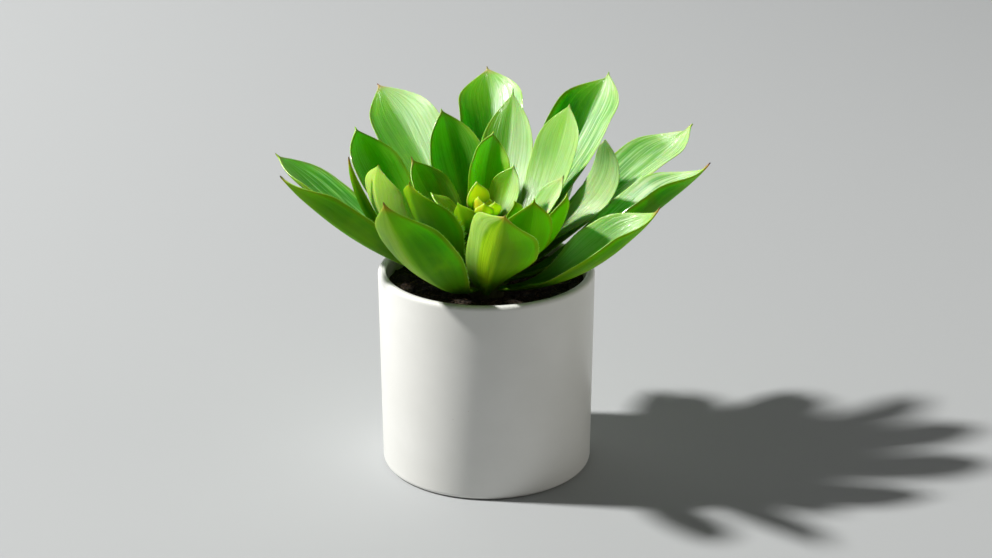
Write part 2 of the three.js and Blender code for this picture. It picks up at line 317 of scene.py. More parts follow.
deselect()
bpy.ops.mesh.primitive_cylinder_add(
    vertices=SOIL_SIDES, radius=SOIL_RADIUS, depth=SOIL_TOP - SOIL_BOTTOM,
    location=(0, 0, (SOIL_TOP + SOIL_BOTTOM) / 2),
)
soil = bpy.context.object
soil.name = "potting_soil"
bpy.ops.object.transform_apply(location=True, rotation=True, scale=True)
select_faces(soil, lambda face: face.center.z > SOIL_TOP - 0.001)
for ring in range(SOIL_RINGS):
    bpy.ops.mesh.inset(thickness=SOIL_RADIUS / (SOIL_RINGS + 1))
select_edges(soil, lambda co: co.z < SOIL_BOTTOM + CLOSE)
bpy.ops.mesh.bevel(offset=SOIL_ROUND, segments=3, affect="EDGES")
bpy.ops.object.mode_set(mode="OBJECT")
for vertex in soil.data.vertices:
    if vertex.co.z > SOIL_TOP - 0.0005:
        vertex.co.z = soil_height(vertex.co.x, vertex.co.y)
bpy.ops.object.shade_smooth_by_angle(angle=math.radians(50))

compost = Finish("black_compost")
grain = compost.cloudy(900, 6, 0.7)
compost.surface({
    "Base Color": compost.shades(grain, (0.004, 0.003, 0.002), (0.065, 0.044, 0.027), 0.35, 0.75),
    "Roughness": compost.fade(grain, 0.0, 1.0, 1.0, 0.7),
    "Specular IOR Level": 0.3,
    "Normal": compost.relief(grain, 0.9, 0.0008),
})
litter = Finish("soil_fibre")
litter.surface({
    "Base Color": litter.shades(
        litter.cloudy(330), (0.010, 0.007, 0.004), (0.24, 0.155, 0.085), 0.38, 0.66
    ),
    "Roughness": 0.8,
    "Specular IOR Level": 0.35,
})


def free_place(chance, within):
    """A place on the soil, this near its middle and clear of the stem."""
    while True:
        x = chance.uniform(-within, within)
        y = chance.uniform(-within, within)
        if math.hypot(x, y) < within and (Vector((x, y, 0)) - STEM_PLACE).length > STEM_CLEARING:
            return x, y


def loose_piece(name, points, faces):
    mesh = bpy.data.meshes.new(name)
    mesh.from_pydata(points, [], faces)
    piece = bpy.data.objects.new(name, mesh)
    bpy.context.scene.collection.objects.link(piece)
    return piece


chance = random.Random(5)
points, faces = [], []
for number in range(FIBRES):
    x, y = free_place(chance, FIBRES_WITHIN)
    heading = chance.uniform(0, 2 * math.pi)
    turn = chance.uniform(-1.6, 1.6)
    length = chance.uniform(0.0015, 0.007)
    thick = chance.uniform(0.00006, 0.00017)
    lift = chance.uniform(0.0001, 0.0005)
    start = len(points)
    for step in range(FIBRE_BENDS + 1):
        share = step / FIBRE_BENDS
        angle = heading + turn * share
        fx = x + length * share * math.cos(angle)
        fy = y + length * share * math.sin(angle)
        reach = math.hypot(fx, fy)
        if reach > FIBRE_ENDS_WITHIN:
            fx, fy = fx * FIBRE_ENDS_WITHIN / reach, fy * FIBRE_ENDS_WITHIN / reach
        fz = soil_height(fx, fy) + lift + 0.0006 * math.sin(math.pi * share) * chance.random()
        girth = thick * (1 - 0.6 * share)
        across = Vector((-math.sin(angle), math.cos(angle), 0))
        points.append(Vector((fx, fy, fz + girth)))
        points.append(Vector((fx, fy, fz - 0.6 * girth)) + across * girth)
        points.append(Vector((fx, fy, fz - 0.6 * girth)) - across * girth)
    for step in range(FIBRE_BENDS):
        a = start + 3 * step
        faces += [(a, a + 1, a + 4, a + 3), (a + 1, a + 2, a + 5, a + 4), (a + 2, a, a + 3, a + 5)]
    end = start + 3 * FIBRE_BENDS
    faces += [(start + 2, start + 1, start), (end, end + 1, end + 2)]
fibres = loose_piece("soil_fibres", points, faces)

points, faces = [], []
for number in range(CRUMBS):
    x, y = free_place(chance, CRUMBS_WITHIN)
    size = chance.uniform(0.0003, 0.0012) * (0.6 + 0.4 * chance.random())
    z = soil_height(x, y) + size * 0.2
    start = len(points)
    spin = chance.uniform(0, 2 * math.pi)
    for level, (height, girth) in enumerate(CRUMB_LEVELS):
        for corner in range(CRUMB_CORNERS):
            angle = spin + corner * 2 * math.pi / CRUMB_CORNERS + 0.4 * level
            far = size * girth * chance.uniform(0.7, 1.15)
            up = size * height * chance.uniform(0.7, 1.2)
            points.append(Vector((x + far * math.cos(angle), y + far * math.sin(angle), z + up)))
    for level in range(len(CRUMB_LEVELS) - 1):
        for corner in range(CRUMB_CORNERS):
            a = start + CRUMB_CORNERS * level + corner
            b = start + CRUMB_CORNERS * level + (corner + 1) % CRUMB_CORNERS
            faces.append((a, b, b + CRUMB_CORNERS, a + CRUMB_CORNERS))
    top = len(points) - CRUMB_CORNERS
    faces.append(tuple(start + c for c in reversed(range(CRUMB_CORNERS))))
    faces.append(tuple(top + c for c in range(CRUMB_CORNERS)))
crumbs = loose_piece("soil_crumbs", points, faces)

for piece, earth in ((soil, compost), (fibres, litter), (crumbs, compost)):
    piece.data.materials.append(earth.made)
    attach(piece, "root")
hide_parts("soil")

# ---------------------------------------------------------------------------------------------
# Stem: short and woody, standing in the soil in the middle of the rosette. It is ringed by the
# scars of shed leaves, and gets greener and thinner towards the heart.
STEM_BOTTOM = 0.084
STEM_TOP = 0.146
STEM_SIDES = 64
STEM_RINGS = 60
STEM_WIDEST = 0.105
STEM_GIRTH = 0.0105
ROOT_GIRTH = 0.0080
ROOT_FLARE = 0.0025
STEM_TAPER = 0.0050
SCAR_DEPTH = 0.00045


def stem_radius(z):
    if z < STEM_WIDEST:
        return ROOT_GIRTH + ROOT_FLARE * min(1, max(0, (z - STEM_BOTTOM) / 0.017))
    return STEM_GIRTH - STEM_TAPER * min(1, (z - STEM_WIDEST) / 0.041)


deselect()
bpy.ops.mesh.primitive_cylinder_add(
    vertices=STEM_SIDES, radius=STEM_GIRTH, depth=STEM_TOP - STEM_BOTTOM,
    location=(STEM_PLACE.x, STEM_PLACE.y, (STEM_TOP + STEM_BOTTOM) / 2),
)
stem = bpy.context.object
stem.name = "woody_stem"
bpy.ops.object.transform_apply(location=True, rotation=True, scale=True)
bpy.ops.object.mode_set(mode="EDIT")
for ring in range(1, STEM_RINGS):
    height = STEM_BOTTOM + (STEM_TOP - STEM_BOTTOM) * ring / STEM_RINGS
    bpy.ops.mesh.select_all(action="SELECT")
    bpy.ops.mesh.bisect(plane_co=(0, 0, height), plane_no=(0, 0, 1))
bpy.ops.object.mode_set(mode="OBJECT")
for vertex in stem.data.vertices:
    away = vertex.co - STEM_PLACE
    angle = math.atan2(away.y, away.x)
    climb = 900 * vertex.co.z
    scars = abs(math.sin(2.5 * angle + climb)) * abs(math.sin(2.5 * angle - climb))
    girth = stem_radius(vertex.co.z)
    girth += SCAR_DEPTH * (scars - 1) + 0.0003 * (noise.noise(vertex.co * 320) - 0.6)
    vertex.co.x = STEM_PLACE.x + girth * math.cos(angle)
    vertex.co.y = STEM_PLACE.y + girth * math.sin(angle)
bpy.ops.object.shade_smooth_by_angle(angle=math.radians(60))

bark = Finish("stem_bark")
upright = bark.wired(
    bark.nodes.new("ShaderNodeMapping"), {"Vector": bark.place, "Scale": (1, 1, 0.25)}, "Vector"
)
grain = bark.cloudy(600, 5, place=upright)
wood = bark.shades(grain, (0.016, 0.014, 0.006), (0.075, 0.070, 0.028))
fresh = bark.shades(grain, (0.060, 0.130, 0.012), (0.180, 0.300, 0.040))
higher = bark.fade(bark.parts(bark.place)[2], 0.104, 0.140)
bark.surface({
    "Base Color": bark.blend(higher, wood, fresh),
    "Roughness": 0.7,
    "Specular IOR Level": 0.35,
    "Normal": bark.relief(grain, 0.6, 0.0005),
})
stem.data.materials.append(bark.made)
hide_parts("stem")
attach(stem, "root")

# ---------------------------------------------------------------------------------------------
# Leaves: fleshy pointed blades, thick along the midrib and thin at the margins, each growing out
# of the stem by a narrow foot. The upper face is folded along the midrib and cupped, the waxy
# skin has fine lengthwise veins, and the pale margin carries small soft teeth and ends in a cusp.
MM = 0.001
STEM_Y = -15
# In mm and degrees: the way in which the leaf leaves the stem and how high, where its tip is, how
# far it bows down and swings aside, its width, the share of its length where it is widest, its
# turn about its length, the hollow and the fold of its face, how far its tip hooks up, and how far
# the bow lies towards the tip.
LEAF_COLUMNS = (
    "name", "turn", "height", "tip", "bow", "swing", "width", "widest", "roll", "cup", "fold",
    "hook", "lean",
)
LEAF_ROWS = [
    ("back_low_left", 111, 107, (-35, 98, 146), 7, 0, 36, 0.62, 0, 36, 12, 0, 0),
    ("left_upper", 164, 107.2, (-117, 25, 172), 9.9, -2.5, 34, 0.72, -2, 36, 12, 0, 0),
    ("right_upper", 25, 107.5, (118, 52, 178), 1.4, 2.4, 38, 0.73, 5, 34, 18, 2, 0),
    ("back_low_right", 67, 108.4, (47, 96, 146), 7.3, 0.9, 36, 0.62, 0, 36, 12, 0, 0),
    ("front_right", -39, 108.6, (92, -37, 162), 12.4, -3.5, 43, 0.60, 17, 50, 38, 0, 0),
    ("front_left", 227, 108.7, (-51, -88, 182), 16.1, 2.8, 46, 0.56, 12, 36, 22, 0, 0),
    ("back_left", 129, 110.3, (-64, 97, 192), 3.9, -5.8, 45, 0.68, -16, 40, 12, 0, 0),
    ("right_middle", 10, 110.9, (122, 5, 173), 10.3, -4.3, 45, 0.68, -6, 50, 38, 0, 0),
    ("left_lower", 186, 111, (-110, -18, 173), 11.7, -0.3, 39, 0.58, 24, 44, 34, 0, 0),
    ("back_centre", 90, 111.2, (0, 98, 202), 7.9, -4.6, 46, 0.74, -3, 46, 30, 0, 0),
    ("back_right", 47, 112, (71, 94, 200), 8.2, 0.6, 45, 0.70, 13, 46, 32, 0, 0),
    ("left_middle", 150, 113.8, (-73, 33, 185), 11.2, 2.8, 38, 0.71, -5, 24, 10, 0, 0),
    ("front_centre", 270, 107.3, (10, -93, 177), 6.1, -2.5, 46, 0.57, -31, 38, 30, 0, 0),
    ("left_edge", 188, 115.2, (-73, -19, 184), 19.2, -3.2, 11, 0.63, 41, 36, 12, 0, 0),
    ("back_centre_inner", 71, 115.4, (15, 65, 198), 10.6, -0.3, 33, 0.60, -7, 26, 10, 0, 0),
    ("right_curved", 4, 116.4, (62.4, -25, 195.3), 17.5, 29.1, 23, 0.63, 49, 12, 4, 0, 17),
    ("back_left_inner", 125, 117.3, (-25, 31, 196), 10.1, -4.9, 38, 0.61, -10, 44, 20, 0, 0),
    ("back_right_inner", 41, 118.2, (46, 33, 198), 12.1, 0.6, 33, 0.72, -4, 20, 6, 0, 0),
    ("left_small", 207, 119, (-57, -21, 180), 16.3, 2, 31, 0.72, 41, 30, 10, 0, 18),
    ("front_right_inner", -50, 119.2, (25, -58, 174), 13.4, -1.1, 31, 0.65, -16, 36, 12, 0, 0),
    ("front_left_inner", 205, 122.3, (-40, -40, 177), 9.4, -1.2, 44, 0.55, 8, 36, 12, 0, 0),
    ("right_inner", -25, 123.6, (43, -29, 167), 11.9, -1.3, 20, 0.69, -21, 36, 12, 0, 0),
    ("left_inner", 162, 125.4, (-41, 7, 176), 5.7, -1.3, 30, 0.58, -12, 36, 12, 0, 0),
    ("right_small", 20, 127, (42, -2, 168), 6.3, 2, 18, 0.68, 15, 36, 12, 0, 0),
    ("centre_back", 90, 130.5, (4, 14, 188), 5.4, 4.5, 30, 0.61, 25, 50, 28, 0, 0),
    ("left_tiny", 182, 132, (-30, -13, 162), -0.5, 2.2, 15, 0.64, -13, 36, 12, 0, 0),
    ("front_right_tiny", -35, 135, (15, -27, 162), 5.3, 3.8, 13, 0.66, -10, 36, 12, 0, 0),
    ("front_left_tiny", 200, 138, (-15, -26, 161), 5.4, 4.2, 17, 0.65, 14, 36, 12, 0, 0),
    ("right_young", 25, 140, (15, -2, 174), 4.9, 2.5, 21, 0.56, 10, 36, 12, 0, 0),
]
# What each leaf is given. A pair is for its two sides, s > 0 first: the length in mm of the
# cusp, how red the tip is, how long the teeth are in mm, how yellow-green the leaf is (partly its
# young flesh, partly painted glow of light shining through), its wave in mm, how much pale painted
# sheen its lit sides carry as a painted highlight, how far its margins curl up in mm, and how strong
# the painted glow of light through its keel is, drawn as a fibrous stripe.
LOOK_COLUMNS = (
    "cusp", "other_cusp", "red", "teeth", "youth_and_glow", "wave", "painted_sheen", "other_painted_sheen",
    "curl", "other_curl", "keel_glow",
)
LEAF_LOOKS = {
    "left_upper": (3.0, 3.0, 0.15, 0.5, 0.02, 0.5, 0.14, 0.22, 2.2, 0.0, 0.0),
    "right_upper": (7.5, 1.5, 0.10, 0.4, 0.00, 0.4, 0.30, 0.38, 0.6, 0.0, 0.0),
    "front_right": (4.5, 4.5, 0.90, 0.6, 0.20, 0.4, 0.18, 0.00, 0.5, 0.8, 0.3),
    "front_left": (2.2, 2.2, 0.60, 0.6, 0.15, 0.7, 0.00, 0.22, 0.0, 0.4, 0.5),
    "back_left": (2.5, 2.0, 0.80, 0.4, 0.20, 0.4, 0.10, 0.50, 2.2, 0.0, 0.0),
    "right_middle": (6.0, 4.0, 1.00, 0.5, 0.00, 0.4, 0.40, 0.00, 0.5, 0.6, 0.1),
    "left_lower": (3.0, 2.0, 0.50, 0.9, 0.20, 0.7, 0.00, 0.20, 0.0, 0.0, 0.2),
    "back_centre": (2.5, 2.0, 0.60, 0.5, 0.10, 0.5, 0.00, 0.00, 0.8, 0.0, 0.0),
    "back_right": (5.5, 1.5, 0.10, 0.4, 0.00, 0.4, 0.00, 0.32, 0.8, 0.0, 0.0),
    "left_middle": (2.0, 2.0, 0.00, 0.4, 0.60, 0.4, 0.00, 0.00, 0.8, 0.5, 0.0),
    "front_centre": (2.0, 2.0, 0.55, 0.6, 0.35, 0.5, 0.00, 0.55, 0.6, 0.4, 1.0),
    "left_edge": (2.0, 2.0, 0.70, 0.5, 0.05, 0.2, 0.00, 0.00, 0.0, 0.0, 0.0),
    "back_centre_inner": (4.0, 4.0, 0.05, 0.4, 0.30, 0.3, 0.00, 0.40, 0.5, 0.3, 0.0),
    "right_curved": (0.8, 0.8, 0.00, 0.4, 0.60, 0.2, 0.70, 0.70, 0.0, 0.4, 0.0),
    "back_left_inner": (1.6, 1.6, 0.10, 0.4, 0.15, 0.3, 0.00, 0.00, 0.6, 0.4, 0.0),
    "back_right_inner": (1.5, 1.5, 0.05, 0.4, 0.45, 0.3, 0.12, 0.35, 0.4, 0.4, 0.0),
    "left_small": (1.2, 1.2, 0.10, 0.6, 0.95, 0.2, 0.55, 0.75, 0.0, 0.0, 0.0),
    "front_right_inner": (2.0, 2.0, 0.20, 0.7, 0.35, 0.3, 0.00, 0.00, 0.4, 0.0, 0.1),
    "front_left_inner": (2.0, 2.0, 0.20, 2.2, 0.10, 0.3, 0.00, 0.00, 0.4, 0.0, 0.0),
    "right_inner": (1.5, 1.5, 0.10, 0.9, 0.85, 0.2, 0.00, 0.00, 0.3, 0.0, 0.0),
    "left_inner": (3.0, 3.0, 0.60, 0.8, 0.20, 0.3, 0.00, 0.00, 0.4, 0.3, 0.0),
    "right_small": (1.5, 1.5, 0.30, 0.8, 0.70, 0.2, 0.50, 0.60, 0.3, 0.0, 0.0),
    "centre_back": (1.5, 1.5, 0.10, 0.4, 0.90, 0.2, 0.00, 0.00, 0.4, 0.3, 0.0),
    "left_tiny": (1.5, 1.5, 0.00, 0.6, 0.80, 0.1, 0.00, 0.00, 0.2, 0.0, 0.0),
    "front_right_tiny": (1.2, 1.2, 0.10, 0.7, 0.70, 0.1, 0.00, 0.00, 0.2, 0.0, 0.0),
    "front_left_tiny": (1.2, 1.2, 0.00, 0.6, 0.90, 0.1, 0.00, 0.00, 0.2, 0.0, 0.0),
    "right_young": (1.5, 1.5, 0.00, 0.4, 0.95, 0.1, 0.00, 0.60, 0.2, 0.0, 0.0),
}
PLAIN_LOOK = (2.5, 2.5, 0.30, 0.5, 0.15, 0.5, 0.10, 0.10, 0.3, 0.3, 0.0)
LARGE_GRID = (28, 74)
SMALL_GRID = (16, 44)
SMALL_WIDTH = 22
CREASE = 0.10
GROOVE_DEPTH = 0.32
GROOVE_WIDTH = 1.1
SHELL_THICK = 2.7
FOOT_HALF_WIDTH = 2.7
FOOT_SUNK = 2
FOOT_THICK = 2.6
TIP_THICK = 1.2
MARGIN_THICK = 0.28
TEETH_FROM = 0.22
TEETH_OVER = 0.755
TEETH_LEFT_OUT = 0.12
TOOTH_SUNK = 0.1
TOOTH_THICK = 0.11


def eased(x, low, high):
    """Goes smoothly from 0 to 1 as x goes from low to high."""
    x = np.clip((x - low) / (high - low), 0, 1)
    return x * x * (3 - 2 * x)


def unit(v):
    return v / np.linalg.norm(v, axis=-1, keepdims=True)


def half_width(t, width, widest, length, cusp):
    """Half of the blade's width in mm, drawn in to a narrow cusp over the last few mm."""
    most = width / 2
    foot = min(FOOT_HALF_WIDTH, 0.36 * most)
    grown = foot + (most - foot) * np.sin(math.pi / 2 * np.clip(t / widest, 0, 1)) ** 1.7
    shoulder = 1 - 0.75 * cusp / length
    v = np.clip((t - widest) / (shoulder - widest), 0, 1)
    closing = most * np.cos(math.pi / 2 * v ** 1.5)
    spine = 0.12 + 0.75 * np.clip((1 - t) * length / cusp, 0, 1) ** 1.2 * min(1, most / 8)
    closing = (closing ** 3 + spine ** 3) ** (1 / 3)
    return np.where(t < widest, grown, np.minimum(closing, most))


def blade_points(leaf, look, s, t):
    """The blade at s across and t along: where its middle is, which way it faces, how thick it is."""
    # The midrib is a curve from the foot in the stem to the tip, bowed down and swung aside.
    turn = math.radians(leaf["turn"])
    reach = stem_radius(leaf["height"] * MM) / MM - FOOT_SUNK
    foot = np.array([reach * math.cos(turn), STEM_Y + reach * math.sin(turn), leaf["height"]])
    tip = np.array(leaf["tip"], float)
    chord = tip - foot
    length = np.linalg.norm(chord)
    chord /= length
    side0 = unit(np.cross([0, 0, 1], chord))
    below = unit(np.cross(side0, chord))
    middle = (foot + tip) / 2 + 2 * leaf["bow"] * below + 2 * leaf["swing"] * side0 + leaf["lean"] * chord
    k = t[:, None]
    centre = (1 - k) ** 2 * foot + 2 * k * (1 - k) * middle + k * k * tip
    along = unit(2 * (1 - k) * (middle - foot) + 2 * k * (tip - middle))
    side = unit(side0 - (along @ side0)[:, None] * along)
    roll = math.radians(leaf["roll"]) * eased(t, 0.05, 0.55)[:, None]
    side = side * np.cos(roll) + np.cross(along, side) * np.sin(roll)
    face = np.cross(along, side)
    centre = centre + face * (2 * leaf["hook"] * eased(t, 0.86, 1))[:, None]
    # Each half is folded up from the midrib and cupped, and is flatter again at the tip.
    plus = half_width(t, leaf["width"], leaf["widest"], length, look["cusp"])
    minus = half_width(t, leaf["width"], leaf["widest"], length, look["other_cusp"])
    half = np.where(s > 0, plus, minus)
    flat = 0.6 * eased(t, 0.75, 1)
    fold = math.radians(leaf["fold"]) * (1 - flat)
    cup = math.radians(leaf["cup"]) * (1 - flat) * eased(t, 0.05, 0.5)
    rate = np.where(abs(cup - fold) < 1e-3, 1e-3, cup - fold)
    slope = fold + rate * abs(s)
    across = (np.sin(slope) - np.sin(fold)) / rate * half * np.sign(s)
    up = (np.cos(fold) - np.cos(slope)) / rate * half
    up = up + np.sin(fold) * half * (np.sqrt(s * s + CREASE ** 2) - abs(s))
    # The margins curl and wave, a groove runs along the midrib, and the face is a little uneven.
    curl = np.where(s > 0, look["curl"], look["other_curl"])
    up = up + curl * eased(abs(s), 0.72, 1.05) ** 2 * eased(t, 0.3, 0.55) * (1 - eased(t, 0.82, 0.97))
    phase = leaf["turn"] + leaf["height"]
    ripple = np.sin(t * length / 9 + phase + 2 * np.sign(s))
    ripple = ripple + 0.6 * np.sin(t * length / 5.3 + 2 * phase + 4 * s)
    ripple = look["wave"] * 0.5 * ripple * abs(s) ** 3
    up = up + ripple * eased(t, 0.25, 0.5) * (1 - 0.8 * eased(t, 0.85, 1))
    groove = GROOVE_DEPTH * np.exp(-((s * half / GROOVE_WIDTH) ** 2))
    up = up - groove * eased(t, 0.05, 0.2) * (1 - eased(t, 0.86, 0.97))
    up = up + 0.10 * np.sin(9 * s + phase) * (1 - s * s) * eased(t, 0.1, 0.3) * (1 - eased(t, 0.8, 0.95))
    slope = slope * np.sign(s)
    deep = np.minimum(FOOT_THICK + (TIP_THICK - FOOT_THICK) * t, 0.25 * leaf["width"])
    deep = np.minimum(deep, 0.5 + 1.3 * half)
    return {
        "centre": centre + side * across[:, None] + face * up[:, None],
        "normal": face * np.cos(slope)[:, None] - side * np.sin(slope)[:, None],
        "outward": side * (np.cos(slope) * np.sign(s))[:, None] + face * np.sin(abs(slope))[:, None],
        "thick": MARGIN_THICK + (deep - MARGIN_THICK) * np.sqrt(np.clip(1 - s * s, 0, 1)),
        "half": half,
        "length": length,
    }


def set_attribute(mesh, name, values):
    made = mesh.attributes.new(name, "FLOAT_VECTOR", "POINT")
    made.data.foreach_set("vector", np.asarray(values, np.float32).ravel())


def painted_light_values(look, s, t):
    """The painted sheen at s and t, the painted glow along the keel, and the painted shade near the foot.
    """
    # Where the keel's painted glow is strong, the painted sheen changes at its far side, and else at the
    # midrib.
    border, width = (-0.50, 0.06) if look["keel_glow"] > 0.9 else (0.0, 0.12)
    more = look["painted_sheen"] - look["other_painted_sheen"]
    painted_sheen = look["other_painted_sheen"] + more * eased(s, border - width, border + width)
    narrow = 1 - 0.45 * eased(t, 0.5, 1)
    keel_glow = look["keel_glow"] * eased(s / narrow, -0.56, -0.44) * (1 - eased(s / narrow, 0.0, 0.08))
    return np.stack([painted_sheen * eased(t, 0.1, 0.35), keel_glow, 1 - eased(t, 0.16, 0.58)], 1)


def make_blade(leaf, look, grid):
    """One leaf as a sheet, thickened, with its place in its mesh."""
    deselect()
    bpy.ops.mesh.primitive_grid_add(x_subdivisions=grid[0], y_subdivisions=grid[1], size=2)
    piece = bpy.context.object
    piece.name = leaf["name"]
    count = len(piece.data.vertices)
    flat = np.zeros(count * 3, np.float32)
    piece.data.vertices.foreach_get("co", flat)
    flat = flat.reshape(-1, 3).astype(float)
    s = -np.sin(math.pi / 2 * np.clip(flat[:, 0], -1, 1))
    t = 1 - (1 - np.clip((flat[:, 1] + 1) / 2, 0, 1)) ** 1.35
    shape = blade_points(leaf, look, s, t)
    length = shape["length"]
    piece.data.vertices.foreach_set("co", (shape["centre"] * MM).ravel())
    group = piece.vertex_groups.new(name="thick")
    for index in range(count):
        group.add([index], min(1.0, shape["thick"][index] / SHELL_THICK), "REPLACE")
    margin = (1 - abs(s)) * shape["half"]
    youth_and_glow = np.full(count, look["youth_and_glow"])
    red = np.full(count, look["red"])
    set_attribute(piece.data, "blade", np.stack([s, t * length / 100, margin], 1))
    set_attribute(piece.data, "look", np.stack([(1 - t) * length, youth_and_glow, red], 1))
    set_attribute(piece.data, "skin", painted_light_values(look, s, t))
    piece.data.update()
    shell = piece.modifiers.new("shell", "SOLIDIFY")
    shell.thickness = SHELL_THICK * MM
    shell.offset = 0
    shell.vertex_group = "thick"
    shell.thickness_vertex_group = 0.0
    shell.material_offset = 1
    shell.material_offset_rim = 0
    return piece


def make_teeth(leaf, look, chance):
    """The soft teeth of both margins, each a small closed spike that leans towards the tip."""
    size = look["teeth"]
    apart = 1.15 if size < 0.7 else 1.7
    rough_length = np.linalg.norm(np.array(leaf["tip"], float) - np.array([0, STEM_Y, leaf["height"]]))
    count = int(rough_length / apart)
    shifts = [i + chance.uniform(-0.3, 0.3) for i in range(1, count)]
    t = np.array([TEETH_FROM + TEETH_OVER * shift / count for shift in shifts])
    points, faces, blade, looks = [], [], [], []
    for sign in (1, -1):
        shape = blade_points(leaf, look, np.full(len(t), float(sign)), t)
        length = shape["length"]
        ahead = unit(np.gradient(shape["centre"], axis=0))
        for i in range(len(t)):
            if chance.random() < TEETH_LEFT_OUT:
                continue
            outward, normal = shape["outward"][i], shape["normal"][i]
            grown = size * chance.uniform(0.55, 1.15) * (0.5 + 0.5 * min(1, shape["half"][i] / 6))
            base = shape["centre"][i] - outward * TOOTH_SUNK
            girth = 0.20 + 0.12 * size
            apex = base + outward * (grown + TOOTH_SUNK) + ahead[i] * grown * chance.uniform(0.3, 0.9)
            apex = apex + normal * chance.uniform(-0.1, 0.2)
            start = len(points)
            points += [base - ahead[i] * girth, base - normal * TOOTH_THICK]
            points += [base + ahead[i] * girth, base + normal * TOOTH_THICK, apex]
            a, b, c, d, e = range(start, start + 5)
            spike = [(a, b, e), (b, c, e), (c, d, e), (d, a, e), (d, c, b, a)]
            faces += spike if sign < 0 else [tuple(reversed(face)) for face in spike]
            blade += [(sign, t[i] * length / 100, 0.0)] * 5
            looks += [((1 - t[i]) * length, look["youth_and_glow"], look["red"])] * 5
    piece = loose_piece("teeth", [tuple(p * MM) for p in points], faces)
    set_attribute(piece.data, "blade", blade)
    set_attribute(piece.data, "look", looks)
    # The teeth carry a little painted sheen, and no painted glow or painted shade.
    set_attribute(piece.data, "skin", [(0.2, 0.0, 0.0)] * len(points))
    return piece


# Painted glow: the yellow-green of light shining through the keel of the front leaves.
KEEL_GLOW_PAINT = (0.35, 0.60, 0.008)
# Painted shade: the dark green laid towards the feet of the leaves, where they shade each other.
FOOT_SHADE_PAINT = (0.010, 0.042, 0.001)
ORANGE_TIP = (0.62, 0.27, 0.03)
BROWN_CUSP = (0.10, 0.03, 0.01)
THIN_FLESH = 0.00012


